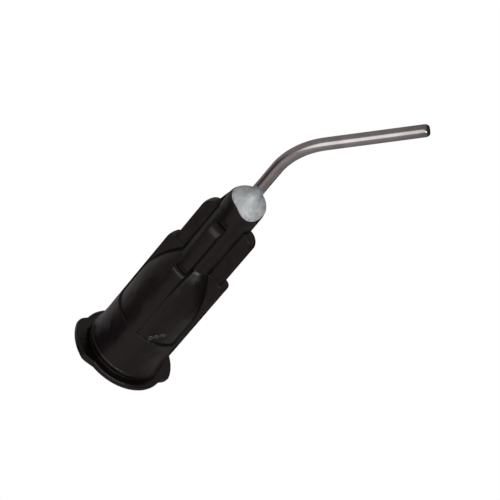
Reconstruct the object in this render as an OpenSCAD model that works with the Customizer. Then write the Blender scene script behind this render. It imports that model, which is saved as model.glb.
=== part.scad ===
// Dispensing needle tip: a moulded luer lock hub, a bent steel cannula and the adhesive that bonds them.
// The hub stands on its open mouth, +Z runs up its axis to the nose, and the cannula bends towards +X.

/* [Luer socket] */
// Diameter of the socket at the open mouth
mouth_d = 4.3; // [4.27:0.01:4.31]
// Depth of the tapered wall
socket_depth = 8.5; // [7.5:0.1:8.6]
// Height of the cone that closes the socket
roof_h = 1.2; // [0.9:0.1:1.4]

/* [Flange and lugs] */
// Diameter of the round flange
flange_d = 6.9; // [6.5:0.1:7.2]
// Thickness of the flange and its lugs
flange_t = 0.5; // [0.4:0.05:0.65]
// Diameter across the two locking lugs
lug_d = 7.8; // [7.7:0.01:7.83]
// Angle over which a lug keeps its full height
lug_arc = 40; // [30:1:50]
// Angle of the short ramp at one end of a lug
lug_lead = 20; // [12:1:30]
// Angle of the long ramp at its other end
lug_tail = 27; // [20:1:40]
// Turn of the lugs away from the bend
lug_turn = 12.5; // [-90:0.5:90]

/* [Barrel] */
// Diameter of the collar and the lower fins
barrel_d = 5.6; // [5.5:0.1:5.8]
// Height of the top of the collar, where the windows begin
collar_h = 4.6; // [3.6:0.1:5.6]
// Depth of the windows
window_depth = 0.13; // [0.08:0.01:0.25]
// Height at which the wall starts to close in
dome_z = 7.2; // [6.8:0.1:7.6]
// Radius of the arc that closes it
dome_r = 7.3; // [6.8:0.1:7.8]
// How far the foot of the barrel flares out
foot_flare = 0.12; // [0.06:0.01:0.2]
// Height of the flare above the ring at its foot
flare_h = 1.5; // [0.8:0.1:2]

/* [Fins] */
// Thickness of a fin below the step
fin_t = 1.1; // [0.9:0.05:1.3]
// Thickness of a fin above the step
upper_t = 0.9; // [0.7:0.05:1.1]
// Turn of the fins away from the bend
fin_turn = 56; // [0:1:89]
// Height of the first step
step_z = 11.25; // [11.1:0.05:12.5]
// Rounding of the first step
step_edge = 0.4; // [0.2:0.05:0.6]
// How far the fins step in
step_in = 0.45; // [0.3:0.05:0.6]
// Height of the top of the fins
fin_z = 15.85; // [15.3:0.05:16.3]
// Rounding of their top corners
fin_edge = 0.88; // [0.4:0.02:0.9]

/* [Nose] */
// Diameter of the nose
nose_d = 2.9; // [2.7:0.05:3.1]
// Height at which the nose starts to round over
shoulder_z = 17.25; // [16.95:0.05:17.65]
// Height of the rim
rim_z = 17.7; // [17.55:0.05:18.05]
// Diameter of the well for the adhesive
well_d = 2.2; // [1.8:0.05:2.3]
// Depth of the well
well_depth = 2.4; // [1.5:0.1:3]

/* [Cannula] */
// Outer diameter, 20 gauge
tube_od = 0.89; // [0.86:0.01:0.92]
// Inner diameter
tube_id = 0.6; // [0.56:0.01:0.65]
// Height of the end inside the hub
tube_z = 10; // [9.8:0.1:12]
// Height at which the bend begins
bend_z = 21.45; // [20:0.05:24]
// Radius of the bend at the centre of the tube
bend_r = 5.3; // [3:0.1:9]
// Angle of the bend
bend_angle = 45; // [15:1:90]
// Length of the straight end past the bend
tip_l = 7.15; // [4:0.05:20]

/* [Adhesive] */
// Turn of the run of adhesive down the nose
run_turn = -77; // [-180:1:180]
// Radius of the run's lower edge
run_r = 1.36; // [1.1:0.02:1.5]
// Height of the lowest point of the run
run_z = 17.22; // [17.04:0.02:17.44]
// How far the run stands out from the nose
run_t = 0.05; // [0.03:0.01:0.1]

/* [Hidden] */
luer_taper = 0.06;
tube_gap = 0.02;
mouth_chamfer = 0.15;
rim_edge = 0.16;
collar_edge = 0.06;
ring_r = 0.1;
ring_gap = 0.35;
web_out = 0.25;
web_h = 1.35;
web_t = 0.6;
tip_edge = 0.12;
swell = 0.005;
lap = 0.05;
cut = 1;
bore_d = tube_od + 2 * tube_gap;
socket_end_d = mouth_d - luer_taper * socket_depth;
wall_d = barrel_d - 2 * window_depth;
foot_r = barrel_d / 2 + foot_flare;
ring_z = flange_t + ring_gap + ring_r;
root_r = flange_d / 2 - rim_edge;
$fn = 96;

// Half section of a disc with rounded rims, against the axis
module disc_section(r, h, low_edge, high_edge) {
    translate([0, low_edge]) square([r, h - low_edge - high_edge]);
    for (edge = [[low_edge, low_edge], [high_edge, h - high_edge]]) if (edge[0] > 0) {
        translate([r - edge[0], edge[1]]) circle(edge[0]);
        translate([0, edge[1] - edge[0]]) square([r - edge[0], 2 * edge[0]]);
    }
}

module disc(r, h, low_edge = 0, high_edge = 0) {
    rotate_extrude() intersection() {
        disc_section(r, h, low_edge, high_edge);
        square([r, h]);
    }
}

// Radius of a lug's outline at an angle: it eases up one ramp, holds and eases down the other
function ease(t) = t * t * (3 - 2 * t);
function lug_r(a) =
    a < 0 ? root_r + (lug_d / 2 - root_r) * ease(1 + a / lug_lead) :
    a > lug_arc ? root_r + (lug_d / 2 - root_r) * ease(1 - (a - lug_arc) / lug_tail) :
    lug_d / 2 + cut;

module lug() {
    points = [for (a = [-lug_lead : 2 : lug_arc + lug_tail]) lug_r(a) * [cos(a), sin(a)]];
    intersection() {
        disc(lug_d / 2, flange_t, rim_edge, rim_edge);
        linear_extrude(flange_t) polygon(concat([[0, 0]], points));
    }
}

module flange() {
    disc(flange_d / 2, flange_t, rim_edge, rim_edge);
    for (side = [0, 180]) rotate(lug_turn - lug_arc / 2 + side) lug();
}

// The barrel below the windows, with a flare and a small ring at its foot
module collar() {
    flare_r = (flare_h * flare_h + foot_flare * foot_flare) / (2 * foot_flare);
    disc(barrel_d / 2, collar_h, 0, collar_edge);
    rotate_extrude() translate([foot_r - ring_r / 2, ring_z]) circle(ring_r);
    rotate_extrude() difference() {
        translate([0, ring_z]) square([foot_r, flare_h]);
        translate([barrel_d / 2 + flare_r, ring_z + flare_h]) circle(flare_r, $fn = 360);
    }
}

// Outside of the socket wall, which closes in to the nose along one long arc
module wall() {
    cylinder(d = wall_d, h = dome_z);
    rotate_extrude() intersection() {
        translate([wall_d / 2 - dome_r, dome_z]) circle(dome_r, $fn = 240);
        translate([0, dome_z]) square([wall_d / 2, step_z - dome_z]);
    }
}

// One tier of the four fins: a round-topped disc cut down to a cross
module fin_tier(d, t, top, edge) {
    intersection() {
        disc(d / 2, top, 0, edge);
        for (turn = [0, 90]) rotate(fin_turn + turn)
            translate([-d, -t / 2, flange_t]) cube([2 * d, t, top]);
    }
}

module fins() {
    fin_tier(barrel_d, fin_t, step_z, step_edge);
    fin_tier(barrel_d - 2 * step_in, upper_t, fin_z, fin_edge);
}

// A small web that one fin sends up the nose
module web() {
    rotate(fin_turn + 90) rotate([90, 0, 0]) linear_extrude(web_t, center = true)
        polygon([[0, step_z], [nose_d / 2 + web_out, step_z], [nose_d / 2 + web_out, fin_z],
            [nose_d / 2, fin_z + web_h], [0, fin_z + web_h]]);
}

// The nose: a round post whose end follows a ball up to the rim
module nose() {
    cylinder(d = nose_d, h = shoulder_z);
    intersection() {
        translate([0, 0, shoulder_z]) sphere(d = nose_d);
        cylinder(d = nose_d + cut, h = rim_z);
    }
}

module well() {
    translate([0, 0, rim_z - well_depth]) cylinder(d = well_d, h = well_depth + cut);
}

module hub() {
    color([0.1, 0.09, 0.09]) difference() {
        union() {
            flange();
            collar();
            wall();
            fins();
            web();
            nose();
        }
        socket();
        translate([0, 0, socket_depth]) cylinder(d = bore_d, h = rim_z);
        well();
    }
}

// The female luer cone, its lead-in and the cone that closes it
module socket() {
    lead = mouth_chamfer * (1 + luer_taper / 2);
    translate([0, 0, -cut])
        cylinder(d1 = mouth_d + luer_taper * cut, d2 = socket_end_d, h = socket_depth + cut);
    translate([0, 0, -cut])
        cylinder(d1 = mouth_d + 2 * (lead + cut), d2 = mouth_d, h = lead + cut);
    translate([0, 0, socket_depth]) cylinder(d1 = socket_end_d, d2 = bore_d, h = roof_h);
}

// Moves what stands on the origin to the end of the bend
module past_bend() {
    translate([bend_r, 0, bend_z]) rotate([0, bend_angle, 0]) translate([-bend_r, 0, 0]) children();
}

// A rod along the cannula's path: up the axis, round the bend and out along the straight end.
// The bend is a hair fatter than the straights, which reach into it.
module path(d, over) {
    translate([0, 0, tube_z - over]) cylinder(d = d, h = bend_z - tube_z + lap + over);
    translate([bend_r, 0, bend_z]) rotate([90, 0, 180])
        rotate_extrude(angle = bend_angle) translate([bend_r, 0]) circle(d = d + 2 * swell);
    past_bend() translate([0, 0, -lap]) cylinder(d = d, h = tip_l - tip_edge + lap + over);
}

module cannula() {
    color([0.62, 0.6, 0.57]) difference() {
        union() {
            path(tube_od, 0);
            past_bend() translate([0, 0, tip_l - 2 * tip_edge])
                disc(tube_od / 2, 2 * tip_edge, 0, tip_edge);
        }
        path(tube_id, cut);
    }
}

// The bead over the nose, with one run down its side, and the ring in the well below it
module adhesive() {
    color([0.8, 0.82, 0.8]) difference() {
        union() {
            intersection() {
                translate([0, 0, shoulder_z]) sphere(d = nose_d);
                translate([0, 0, rim_z]) cylinder(d = nose_d, h = nose_d);
            }
            intersection() {
                rotate(run_turn) translate([run_t, 0, shoulder_z]) sphere(d = nose_d);
                rotate(run_turn) translate([0, 0, run_z + run_r]) rotate([0, 90, 0])
                    cylinder(r = run_r, h = nose_d);
            }
            intersection() {
                well();
                cylinder(d = well_d, h = rim_z);
            }
        }
        difference() {
            nose();
            well();
        }
        cylinder(d = tube_od, h = bend_z);
    }
}

hub();
cannula();
adhesive();
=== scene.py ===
import bpy, bmesh, math
from mathutils import Vector, Matrix


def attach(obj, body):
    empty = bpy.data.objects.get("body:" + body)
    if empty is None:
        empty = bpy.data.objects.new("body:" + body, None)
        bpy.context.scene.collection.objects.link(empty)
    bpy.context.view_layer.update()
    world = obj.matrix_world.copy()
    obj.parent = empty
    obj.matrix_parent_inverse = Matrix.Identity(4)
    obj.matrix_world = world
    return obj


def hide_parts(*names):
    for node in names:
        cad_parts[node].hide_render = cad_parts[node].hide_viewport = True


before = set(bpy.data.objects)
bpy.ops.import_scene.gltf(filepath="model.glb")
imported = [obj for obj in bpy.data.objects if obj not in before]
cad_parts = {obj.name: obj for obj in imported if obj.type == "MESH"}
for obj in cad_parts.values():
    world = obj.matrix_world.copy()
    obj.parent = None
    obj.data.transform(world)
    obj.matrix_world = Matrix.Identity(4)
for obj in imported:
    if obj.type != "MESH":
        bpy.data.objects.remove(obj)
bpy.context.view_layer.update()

mm = 0.001
scene = bpy.context.scene
print("frame loaded:", ", ".join(sorted(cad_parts)))


# helpers for node trees

def newMaterial(name):
    material = bpy.data.materials.new(name)
    material.use_nodes = True
    tree = material.node_tree
    tree.nodes.clear()
    return material, tree, tree.nodes.new("ShaderNodeOutputMaterial")


def addNode(tree, kind, values=None, **settings):   # values go to its sockets, settings to the node
    node = tree.nodes.new(kind)
    for key, value in settings.items():
        setattr(node, key, value)
    for socket, value in (values or {}).items():
        node.inputs[socket].default_value = value
    return node


def addShader(tree, out, values):             # gives back its inputs, ready to link
    shader = addNode(tree, "ShaderNodeBsdfPrincipled", values)
    tree.links.new(shader.outputs["BSDF"], out.inputs["Surface"])
    return shader.inputs


def coordsOn(tree, kind="Object"):
    return tree.nodes.new("ShaderNodeTexCoord").outputs[kind]


def noiseOn(tree, coords, scale, detail, rough, warp=0.0):
    noise = addNode(tree, "ShaderNodeTexNoise",
                    {"Scale": scale, "Detail": detail, "Roughness": rough, "Distortion": warp})
    tree.links.new(coords, noise.inputs["Vector"])
    return noise.outputs["Fac"]


def rampOn(tree, value, band, dark, light):   # dark below the band of values, light above it
    ramp = tree.nodes.new("ShaderNodeValToRGB")
    tree.links.new(value, ramp.inputs["Fac"])
    for element, place, colour in zip(ramp.color_ramp.elements, band, (dark, light)):
        element.position = place
        element.color = (*colour, 1)
    return ramp.outputs["Color"]


def rangeOn(tree, value, band, low=0.0, high=1.0, curve="LINEAR"):
    span = addNode(tree, "ShaderNodeMapRange",
                   {"From Min": band[0], "From Max": band[1], "To Min": low, "To Max": high},
                   interpolation_type=curve)
    tree.links.new(value, span.inputs["Value"])
    return span.outputs["Result"]


def tintOn(tree, share, colour, tint):        # sockets 6, 7 and 2 are the colour ones
    mix = addNode(tree, "ShaderNodeMix", {7: (*tint, 1)}, data_type="RGBA")
    tree.links.new(share, mix.inputs["Factor"])
    tree.links.new(colour, mix.inputs[6])
    return mix.outputs[2]


def bumpOn(tree, height, strength, depth, normal=None):
    bump = addNode(tree, "ShaderNodeBump", {"Strength": strength, "Distance": depth})
    tree.links.new(height, bump.inputs["Height"])
    if normal is not None:
        tree.links.new(normal, bump.inputs["Normal"])
    return bump.outputs["Normal"]


def makePiece(name, bm):                      # turns the finished mesh into an object of the scene
    bmesh.ops.recalc_face_normals(bm, faces=bm.faces)
    mesh = bpy.data.meshes.new(name)
    bm.to_mesh(mesh)
    bm.free()
    piece = bpy.data.objects.new(name, mesh)
    scene.collection.objects.link(piece)
    return piece


# black moulded plastic of the hub

hubPlastic = {
    "dark": (0.0021, 0.0012, 0.0012),
    "light": (0.0046, 0.0030, 0.0029),
    "gloss": (1.0, 0.88, 0.855),        # the shine of the plastic is a little warm
    "shine": 0.43,            # strength of that shine
    "ior": 1.49,
    "rough": (0.25, 0.40),
    "edge": 0.08 * mm,        # rounding of the moulded edges
    "flow": 260.0,            # soft clouds where the plastic flowed
    "waves": 850.0,           # slight unevenness of the moulded faces
    "waveDepth": 0.12 * mm,
    "grain": 2600.0,          # fine skin of the mould
    "grainDepth": 0.003 * mm,
}


def blackPlastic(look):
    material, tree, out = newMaterial("hubPlastic")
    shader = addShader(tree, out, {"IOR": look["ior"], "Specular IOR Level": look["shine"],
                                   "Specular Tint": (*look["gloss"], 1)})
    coords = coordsOn(tree)
    flow = noiseOn(tree, coords, look["flow"], 4, 0.55)
    tree.links.new(rampOn(tree, flow, (0.3, 0.7), look["dark"], look["light"]), shader["Base Color"])
    tree.links.new(rangeOn(tree, flow, (0.35, 0.65), *look["rough"]), shader["Roughness"])
    rounded = addNode(tree, "ShaderNodeBevel", {"Radius": look["edge"]}, samples=8)
    waves = noiseOn(tree, coords, look["waves"], 1.5, 0.5)
    uneven = bumpOn(tree, waves, 0.8, look["waveDepth"], rounded.outputs["Normal"])
    grain = noiseOn(tree, coords, look["grain"], 2, 0.6)
    tree.links.new(bumpOn(tree, grain, 0.15, look["grainDepth"], uneven), shader["Normal"])
    return material


# the cannula as one swept tube of drawn steel

cannula = {
    "outer": 0.89,
    "inner": 0.60,
    "start": 10.0,            # inside the hub
    "bendStart": 21.45,
    "bendRadius": 5.3,
    "bendAngle": 45.0,
    "straight": 7.15,
    "edge": 0.33,             # rounding of the cut end
    "mouth": 0.22,            # the rounded end closes in on the bore
    "lip": 0.12,              # how deep the mouth opens out into the bore
    "cut": 0.01,              # small step between the rounded edge and the mouth
    "around": 64,
    "closing": 0.1,           # surface length given to the hidden end inside the hub
    "steps": (23, 32, 14),    # below, in and past the bend
    "edgeSteps": 8,
    "brightSteps": 2,          # of the edge's steps, those that keep the bright steel; the rest, the mouth and the bore take the painted shade
    "mouthSteps": 4,
    "steel": {
        "dark": (0.34, 0.315, 0.305),
        "light": (0.50, 0.47, 0.46),
        "tipTone": (0.27, 0.245, 0.225),   # darker, warmer steel towards the cut end
        "tipToneFrom": (20.9, 22.6),       # millimetres along the tube
        "tipToneShare": 0.8,
        "rough": (0.16, 0.26),
        "lines": (60.0, 1.2),           # drawing lines: how many round the tube, how often along it
        "lineDepth": 0.004 * mm,
        "lineShare": 0.55,              # the rest of the change in colour comes from clouds
        "clouds": 700.0,
    },
    "bore": {                 # painted shade: the bore, the mouth and most of the rounded cut end are coloured near black and mottled, in place of the shade inside the tube
        "shadedPale": (0.05, 0.045, 0.043),
        "shaded": (0.012, 0.010, 0.010),
        "metal": 0.6,
        "rough": 0.55,
        "mottle": 2500.0,
        "mottleDepth": 0.005 * mm,
    },
}


def drawnSteel(look):
    material, tree, out = newMaterial("cannulaSteel")
    shader = addShader(tree, out, {"Metallic": 1.0})
    uv = tree.nodes.new("ShaderNodeUVMap").outputs["UV"]
    stretch = addNode(tree, "ShaderNodeMapping", {"Scale": (*look["lines"], 1.0)})
    tree.links.new(uv, stretch.inputs["Vector"])
    lines = noiseOn(tree, stretch.outputs["Vector"], 3.0, 4, 0.6)
    clouds = noiseOn(tree, coordsOn(tree), look["clouds"], 3, 0.5)
    both = addNode(tree, "ShaderNodeMix", {"Factor": look["lineShare"]})
    tree.links.new(clouds, both.inputs["A"])
    tree.links.new(lines, both.inputs["B"])
    colour = rampOn(tree, both.outputs["Result"], (0.38, 0.62), look["dark"], look["light"])
    split = tree.nodes.new("ShaderNodeSeparateXYZ")
    tree.links.new(uv, split.inputs["Vector"])
    # the steel turns darker and warmer over the last millimetres towards the cut end
    tipToneShare = rangeOn(tree, split.outputs["Y"], look["tipToneFrom"], 0.0, look["tipToneShare"])
    tree.links.new(tintOn(tree, tipToneShare, colour, look["tipTone"]), shader["Base Color"])
    tree.links.new(rangeOn(tree, lines, (0.3, 0.7), *look["rough"]), shader["Roughness"])
    tree.links.new(bumpOn(tree, lines, 0.12, look["lineDepth"]), shader["Normal"])
    return material


def shadedBore(look):
    material, tree, out = newMaterial("cannulaBoreShade")
    shader = addShader(tree, out, {"Metallic": look["metal"], "Roughness": look["rough"]})
    # painted shade: mottled near-black tones stand in for the shade inside the tube
    mottle = noiseOn(tree, coordsOn(tree), look["mottle"], 4, 0.6)
    tree.links.new(rampOn(tree, mottle, (0.35, 0.65), look["shaded"], look["shadedPale"]), shader["Base Color"])
    tree.links.new(bumpOn(tree, mottle, 0.2, look["mottleDepth"]), shader["Normal"])
    return material


def tubePath(size):                           # the middle of the tube: places and how far it has turned
    start, bend, r = size["start"], size["bendStart"], size["bendRadius"]
    below, within, past = size["steps"]
    turn = math.radians(size["bendAngle"])
    stops = [(Vector((0, 0, start + (bend - start) * i / below)), 0.0) for i in range(below)]
    for i in range(within + 1):
        a = turn * i / within
        stops.append((Vector((r - r * math.cos(a), 0, bend + r * math.sin(a))), a))
    end = stops[-1][0]
    along = Vector((math.sin(turn), 0, math.cos(turn)))
    for i in range(1, past + 1):
        stops.append((end + along * ((size["straight"] - size["edge"]) * i / past), turn))
    return stops, end, along, turn


# up the outside, over the cut end and back down the bore: place, turn, radius, material from there on
def tubeRings(size):
    stops, end, along, turn = tubePath(size)
    outer, inner, mouth = size["outer"] / 2, size["inner"] / 2, size["mouth"]
    rings = [(place, a, outer, 0) for place, a in stops]
    for i in range(1, size["edgeSteps"] + 1):
        t = math.radians(90) * i / size["edgeSteps"]
        reach = size["straight"] - size["edge"] + size["edge"] * math.sin(t)
        flat = mouth + size["cut"]
        # the later steps of the rounded edge take the bore's painted shade
        shaded = int(i > size["brightSteps"])
        rings.append((end + along * reach, turn, flat + (outer - flat) * math.cos(t), shaded))
    for i in range(size["mouthSteps"] + 1):
        t = i / size["mouthSteps"]
        reach = size["straight"] - size["cut"] - size["lip"] * t
        rings.append((end + along * reach, turn, mouth + (inner - mouth) * t * t, 1))
    return rings + [(place, a, inner, 1) for place, a in reversed(stops[:-1])]


def sweepTube(size):
    rings = tubeRings(size)
    n = size["around"]
    level = Vector((0, 1, 0))
    bm = bmesh.new()
    uvLayer = bm.loops.layers.uv.new("UVMap")
    loops = []
    for place, turn, r, _ in rings:
        across = Vector((math.cos(turn), 0, -math.sin(turn)))
        loops.append([])
        for k in range(n):
            t = 2 * math.pi * k / n
            spot = place + across * (r * math.cos(t)) + level * (r * math.sin(t))
            loops[-1].append(bm.verts.new(spot * mm))
    travelled = [0.0]                         # millimetres along the surface, for the drawing lines
    for low, high in zip(rings, rings[1:]):
        travelled.append(travelled[-1] + (high[0] - low[0]).length + abs(high[2] - low[2]))
    travelled.append(travelled[-1] + size["closing"])
    for j, (_, _, _, shaded) in enumerate(rings):
        low, high = loops[j], loops[(j + 1) % len(loops)]
        for k in range(n):
            face = bm.faces.new((low[k], low[(k + 1) % n], high[(k + 1) % n], high[k]))
            face.smooth = True
            face.material_index = shaded
            near, far = travelled[j], travelled[j + 1]
            for loop, u, v in zip(face.loops, (k, k + 1, k + 1, k), (near, near, far, far)):
                loop[uvLayer].uv = (u / n, v)
    return makePiece("cannulaTube", bm)


# the bead of milky adhesive

adhesive = {
    "radius": 1.45,
    "centre": 17.25,
    "tube": cannula["outer"] / 2,
    "top": 19.5,              # where the glue's film on the tube ends
    "film": 0.10,             # thickness of the film where it leaves the dome
    "filmNear": 0.28,         # and how much more on its thick side
    "filmFrom": 1.3,          # how far over the centre it starts to thin out
    "filmFade": 0.24,
    "filmLong": 0.8,          # and how much further up it reaches on its thick side
    "filmLeast": 0.004,
    "filmBlend": 0.25,        # softness of the corner between dome and film
    "nearTurn": -105.0,       # side where the glue climbs most
    "flatTurn": 160.0,        # side where the dome is flatter
    "flat": 0.09,
    "low": 17.72,             # lower edge on the nose
    "runTurn": -77.0,
    "runLow": 17.30,
    "runRadius": 1.36,
    "runBlend": 0.3,          # softness of the corners beside the run
    "proud": 0.045,           # how far the glue stands out from the nose
    "proudTop": 18.4,         # where the dome takes over from that
    "proudFade": 0.7,
    "roll": 0.16,             # height of the rounded lower edge
    "turnIn": 0.03,           # how far the edge turns in under itself
    "under": 0.20,            # from here inwards its underside is flat
    "lift": 0.02,
    "well": 1.1,
    "bottom": 15.35,
    "wellStep": 16.5,         # extra rings on the hidden walls keep their faces short
    "floorStep": 0.3,
    "boreStep": 17.0,
    "room": 0.001,            # a hair of room round the tube
    "around": 160,
    "rows": 64,
    "crowd": 1.15,            # rows lie closer towards the lower edge
    "glue": {
        "tint": (0.64, 0.69, 0.67),
        "cloudy": (0.92, 0.935, 0.905),
        "clouds": 2300.0,
        "film": (0.50, 0.61, 0.63),     # thin glue over the steel
        "filmBand": (0.36, 0.20),       # from the dome up to the film, as shares of the way down
        "rim": (0.42, 0.45, 0.64),      # thin lower edge over the black plastic
        "rimBand": (0.93, 0.985),
        "ior": 1.5,
        "rough": 0.36,
        "milk": 0.55,                   # share of the light that scatters inside it
        "scatter": 0.45 * mm,
        "spread": (1.0, 1.0, 0.95),     # how far each colour scatters
        "clear": 0.30,                  # share that passes straight through
        "uneven": 0.03 * mm,
    },
}


def milkyAdhesive(look):
    material, tree, out = newMaterial("adhesiveMilky")
    shader = addShader(tree, out, {"IOR": look["ior"], "Roughness": look["rough"],
                                   "Subsurface Weight": look["milk"], "Subsurface Radius": look["spread"],
                                   "Subsurface Scale": look["scatter"], "Transmission Weight": look["clear"]})
    clouds = noiseOn(tree, coordsOn(tree), look["clouds"], 4, 0.55, 0.8)
    colour = rampOn(tree, clouds, (0.38, 0.62), look["tint"], look["cloudy"])
    split = tree.nodes.new("ShaderNodeSeparateXYZ")
    tree.links.new(tree.nodes.new("ShaderNodeUVMap").outputs["UV"], split.inputs["Vector"])
    for part in ("film", "rim"):
        share = rangeOn(tree, split.outputs["Y"], look[part + "Band"])
        colour = tintOn(tree, share, colour, look[part])
    tree.links.new(colour, shader["Base Color"])
    tree.links.new(bumpOn(tree, clouds, 0.35, look["uneven"]), shader["Normal"])
    return material


def softMin(a, b, k):                         # the smaller one, with the corner blended over k
    h = max(k - abs(a - b), 0) / k
    return min(a, b) - h * h * k / 4


def facing(angle, turn):                      # 1 on that side, -1 on the far one
    return math.cos(angle - math.radians(turn))


def beadLow(angle, size):                     # height of the glue's lower edge round the nose
    y = size["radius"] * math.sin(angle - math.radians(size["runTurn"]))
    if facing(angle, size["runTurn"]) < 0 or abs(y) > size["runRadius"]:
        return size["low"]
    run = size["runLow"] + size["runRadius"] - math.sqrt(size["runRadius"] ** 2 - y * y)
    return softMin(size["low"], run, size["runBlend"])


def beadRadius(angle, z, size):               # the dome, and a film that thins out up the tube
    radius, tube = size["radius"], size["tube"]
    over = max(z - size["centre"], 0)
    dome = math.sqrt(max(radius * radius - over ** 2, 0.0))
    flatter = max(facing(angle, size["flatTurn"]), 0) ** 2
    dome -= size["flat"] * flatter * math.sin(2 * math.asin(min(1.0, over / radius)))
    near = max(facing(angle, size["nearTurn"]), 0) ** 2
    rise = max(z - size["centre"] - size["filmFrom"], 0)
    fade = size["filmFade"] * (1 + size["filmLong"] * near)
    film = tube + (size["film"] + size["filmNear"] * near) * math.exp(-rise / fade)
    return -softMin(-dome, -max(film, tube + size["filmLeast"]), size["filmBlend"])


# the glue's outline from the tube down to the nose, then back inside it
def beadProfile(angle, size):
    low = beadLow(angle, size)
    line = []
    for i in range(size["rows"]):
        t = i / (size["rows"] - 1)
        z = size["top"] + (low - size["top"]) * (1 - (1 - t) ** size["crowd"])
        above = max(0.0, min(1.0, (z - low) / size["roll"]))
        below = max(0.0, min(1.0, (size["proudTop"] - z) / size["proudFade"]))
        proud = size["proud"] * math.sqrt(above * (2 - above)) * below
        line.append((beadRadius(angle, z, size) + proud, z))
    rim, lift, well, bottom = line[-1][0], size["lift"], size["well"], size["bottom"]
    bore = size["tube"] + size["room"]
    line += [(rim - size["turnIn"], low + lift / 2), (rim - size["under"], low + lift), (well, low + lift),
             (well, size["wellStep"]), (well, bottom), (size["tube"] + size["floorStep"], bottom),
             (bore, bottom), (bore, size["boreStep"])]
    return line


def shapeBead(size):
    bm = bmesh.new()
    uvLayer = bm.loops.layers.uv.new("UVMap")
    n = size["around"]
    columns = []
    for k in range(n):
        angle = 2 * math.pi * k / n
        columns.append([bm.verts.new((r * math.cos(angle) * mm, r * math.sin(angle) * mm, z * mm))
                        for r, z in beadProfile(angle, size)])
    for k in range(n):
        here, there = columns[k], columns[(k + 1) % n]
        rows = len(here)
        for j in range(rows):
            face = bm.faces.new((here[j], here[(j + 1) % rows], there[(j + 1) % rows], there[j]))
            face.smooth = True
            v0, v1 = min(j / (size["rows"] - 1), 1), min((j + 1) / (size["rows"] - 1), 1)
            for loop, u, v in zip(face.loops, (k, k, k + 1, k + 1), (v0, v1, v1, v0)):
                loop[uvLayer].uv = (u / n, v)
    return makePiece("adhesiveBead", bm)


# the scar that the mould's gate left on one window, a broken low ridge

gate = {
    "radius": 2.66,           # where the window's face lies
    "turn": (-95.5, -73.0),   # from its lower end to its upper end
    "z": (4.68, 5.80),
    "wide": 0.24,             # half width of the ridge
    "slim": 0.35,             # share of that width between the lumps
    "high": 0.13,
    "lift": 0.005,
    "sunk": 0.05,             # how deep its underside lies in the wall
    "sunkWide": 0.3,          # share of the width down there
    "runOut": 6.0,            # how quickly both ends rise from nothing
    "lumps": ((0.12, 1.0, 0.15), (0.48, 0.6, 0.10), (0.83, 0.7, 0.11)),   # place, height, length
    "steps": 48,
    "across": 12,
    "plastic": {              # painted highlight: besides the highlights its ridge catches, the scar is coloured far lighter than the hub's black, mottled, for the bright spot at the window's foot
        "scarDark": (0.012, 0.011, 0.010),
        "paintedHighlight": (0.062, 0.065, 0.058),
        "ior": 1.49,
        "rough": 0.24,
        "spots": 3800.0,
        "spotDepth": 0.02 * mm,
    },
}


def scarPaintedHighlight(look):
    material, tree, out = newMaterial("hubGateScar")
    shader = addShader(tree, out, {"IOR": look["ior"], "Roughness": look["rough"]})
    # painted highlight: mottled tones far lighter than the hub's black
    spots = noiseOn(tree, coordsOn(tree), look["spots"], 3, 0.6)
    tree.links.new(rampOn(tree, spots, (0.40, 0.60), look["scarDark"], look["paintedHighlight"]), shader["Base Color"])
    tree.links.new(bumpOn(tree, spots, 0.3, look["spotDepth"]), shader["Normal"])
    return material


def scarRow(t, size):                         # the ridge's cross section at a share of its length
    turn = math.radians(size["turn"][0] + (size["turn"][1] - size["turn"][0]) * t)
    z = size["z"][0] + (size["z"][1] - size["z"][0]) * t
    out = Vector((math.cos(turn), math.sin(turn), 0))
    side = Vector((math.sin(turn), -math.cos(turn), 1.0)).normalized()
    lump = max(high * math.exp(-((t - at) / length) ** 2) for at, high, length in size["lumps"])
    lump *= min(1.0, size["runOut"] * t, size["runOut"] * (1 - t))
    half = size["wide"] * (size["slim"] + (1 - size["slim"]) * lump)
    base = out * size["radius"] + Vector((0, 0, z))
    row = []
    for k in range(size["across"] + 1):
        a = math.pi * k / size["across"]
        rise = math.sin(a) * size["high"] * lump + size["lift"]
        row.append(base + side * (-math.cos(a) * half) + out * rise)
    for way in (1, -1):                       # the underside is sunk into the wall
        row.append(base - out * size["sunk"] + side * (way * size["wide"] * size["sunkWide"]))
    return row


def gateScar(size):
    bm = bmesh.new()
    rows = [[bm.verts.new(spot * mm) for spot in scarRow(i / size["steps"], size)]
            for i in range(size["steps"] + 1)]
    n = len(rows[0])
    for low, high in zip(rows, rows[1:]):
        for k in range(n):
            bm.faces.new((low[k], low[(k + 1) % n], high[(k + 1) % n], high[k])).smooth = True
    bm.faces.new(rows[0])
    bm.faces.new(reversed(rows[-1]))
    return makePiece("gateScar", bm)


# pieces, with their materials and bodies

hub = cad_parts["hub"]
hub.data.materials.clear()
hub.data.materials.append(blackPlastic(hubPlastic))

scar = gateScar(gate)
# the scar's light colour is a painted highlight
scar.data.materials.append(scarPaintedHighlight(gate["plastic"]))
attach(scar, "root")

bead = shapeBead(adhesive)
bead.data.materials.append(milkyAdhesive(adhesive["glue"]))
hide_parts("adhesive")
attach(bead, "root")

tube = sweepTube(cannula)
tube.data.materials.append(drawnSteel(cannula["steel"]))
# its second material is the painted shade of the bore and the cut end
tube.data.materials.append(shadedBore(cannula["bore"]))
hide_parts("cannula")
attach(tube, "root")
print("pieces dressed")


# floor, light and camera

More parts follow.
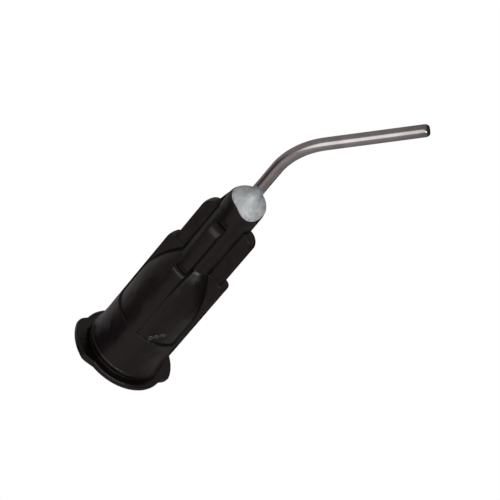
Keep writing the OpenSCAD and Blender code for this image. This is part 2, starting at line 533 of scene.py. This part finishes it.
stageLook = {
    "floorSide": 900.0,
    "room": (0.31, 0.288, 0.292),
    "patches": [              # turn from the camera, height, inner and outer angle, change, tint
        (-60.0, -37.0, 17.0, 30.0, -0.23, (1.0, 0.98, 0.94)),   # dark card low on the left
        (-2.0, -30.0, 5.0, 40.0, 0.15, (1.0, 0.93, 0.92)),      # bounce from below the camera
        (163.0, -20.0, 18.0, 48.0, -0.27, (1.0, 1.0, 1.0)),     # dim far side, under the part's level
        (68.0, 17.0, 10.0, 24.0, -0.27, (1.0, 1.0, 1.0)),       # unlit corner on the right
        (100.0, -8.0, 12.0, 26.0, -0.27, (1.0, 1.0, 1.0)),      # and its shade lower down
    ],
}

lampLook = {
    "aim": (2.0, 0.0, 12.0),
    "lamps": [                # name, turn from the camera, height, distance, width, height, glow, colour
        ("keyFront", -12.0, 21.0, 170.0, 136.0, 132.0, 1.42, (0.95, 0.98, 1.0)),
        ("sparkMiddle", 16.0, 28.0, 165.0, 36.0, 36.0, 9.5, (0.84, 0.93, 1.0)),
        ("sparkRight", 42.0, 29.0, 190.0, 50.0, 45.0, 9.0, (0.90, 0.97, 1.0)),
    ],
}

shot = {
    "azimuth": -22.15,        # turn of the camera round the hub
    "elevation": 37.48,
    "roll": 40.69,            # the axis leans over in the frame
    "distance": 226.0,
    "target": (4.741, 5.710, 9.228),
    "sensor": 36.0,
    "frameWide": 36.0049,     # millimetres that the frame spans at the target
}


# seen directly it is paper white, while the part is lit by the surface itself
def whiteToTheEye(tree, surface, out):
    white = addNode(tree, "ShaderNodeEmission", {"Strength": 1.0})
    path = tree.nodes.new("ShaderNodeLightPath")
    mix = tree.nodes.new("ShaderNodeMixShader")
    tree.links.new(path.outputs["Is Camera Ray"], mix.inputs["Fac"])
    tree.links.new(surface, mix.inputs[1])
    tree.links.new(white.outputs["Emission"], mix.inputs[2])
    tree.links.new(mix.outputs["Shader"], out.inputs["Surface"])


def layFloor(look):
    bm = bmesh.new()
    side = look["floorSide"] / 2 * mm
    bm.faces.new([bm.verts.new((x * side, y * side, 0)) for x, y in ((-1, -1), (1, -1), (1, 1), (-1, 1))])
    floor = makePiece("floor", bm)
    material, tree, out = newMaterial("floorPale")
    clear = addNode(tree, "ShaderNodeBsdfTransparent")
    whiteToTheEye(tree, clear.outputs["BSDF"], out)
    floor.data.materials.append(material)


def aroundHub(azimuth, elevation):            # a direction away from the hub
    a, e = math.radians(azimuth), math.radians(elevation)
    return Vector((math.sin(a) * math.cos(e), -math.cos(a) * math.cos(e), math.sin(e)))


def hangLights(look, faceTurn):
    for name, turn, height, distance, wide, tall, glow, colour in look["lamps"]:
        lamp = bpy.data.lights.new(name, "AREA")
        lamp.shape = "RECTANGLE"
        lamp.size = wide * mm
        lamp.size_y = tall * mm
        lamp.energy = glow * math.pi * lamp.size * lamp.size_y
        lamp.color = colour
        holder = bpy.data.objects.new(name, lamp)
        scene.collection.objects.link(holder)
        away = aroundHub(faceTurn + turn, height)
        holder.location = Vector(look["aim"]) * mm + away * (distance * mm)
        holder.rotation_euler = (-away).to_track_quat("-Z", "Y").to_euler()


def placeCamera(shot):
    data = bpy.data.cameras.new("camera")
    data.sensor_width = shot["sensor"]
    data.lens = shot["sensor"] * shot["distance"] / shot["frameWide"]
    data.clip_start = 0.01
    data.clip_end = 10
    camera = bpy.data.objects.new("camera", data)
    scene.collection.objects.link(camera)
    away = aroundHub(shot["azimuth"], shot["elevation"])
    camera.location = Vector(shot["target"]) * mm + away * (shot["distance"] * mm)
    level = (-away).to_track_quat("-Z", "Y").to_matrix()
    camera.rotation_euler = (level @ Matrix.Rotation(math.radians(shot["roll"]), 3, "Z")).to_euler()
    scene.camera = camera


def lightRoom(look, faceTurn):
    world = bpy.data.worlds.new("studio")
    world.use_nodes = True
    tree = world.node_tree
    room = tree.nodes["Background"]
    direction = coordsOn(tree, "Generated")
    total = None
    for turn, height, inner, outer, change, tint in look["patches"]:
        dot = addNode(tree, "ShaderNodeVectorMath", {1: aroundHub(faceTurn + turn, height)},
                      operation="DOT_PRODUCT")
        tree.links.new(direction, dot.inputs[0])
        band = (math.cos(math.radians(outer)), math.cos(math.radians(inner)))
        soft = rangeOn(tree, dot.outputs["Value"], band, curve="SMOOTHSTEP")
        share = addNode(tree, "ShaderNodeVectorMath", {0: [change * c for c in tint]}, operation="SCALE")
        tree.links.new(soft, share.inputs["Scale"])
        add = addNode(tree, "ShaderNodeVectorMath", {0: look["room"]}, operation="ADD")
        if total is not None:
            tree.links.new(total, add.inputs[0])
        tree.links.new(share.outputs["Vector"], add.inputs[1])
        total = add.outputs["Vector"]
    tree.links.new(total, room.inputs["Color"])
    whiteToTheEye(tree, room.outputs["Background"], tree.nodes["World Output"])
    scene.world = world


scene.view_settings.view_transform = "Standard"

lightRoom(stageLook, shot["azimuth"])
layFloor(stageLook)
hangLights(lampLook, shot["azimuth"])
placeCamera(shot)
print("stage, lights and camera set")
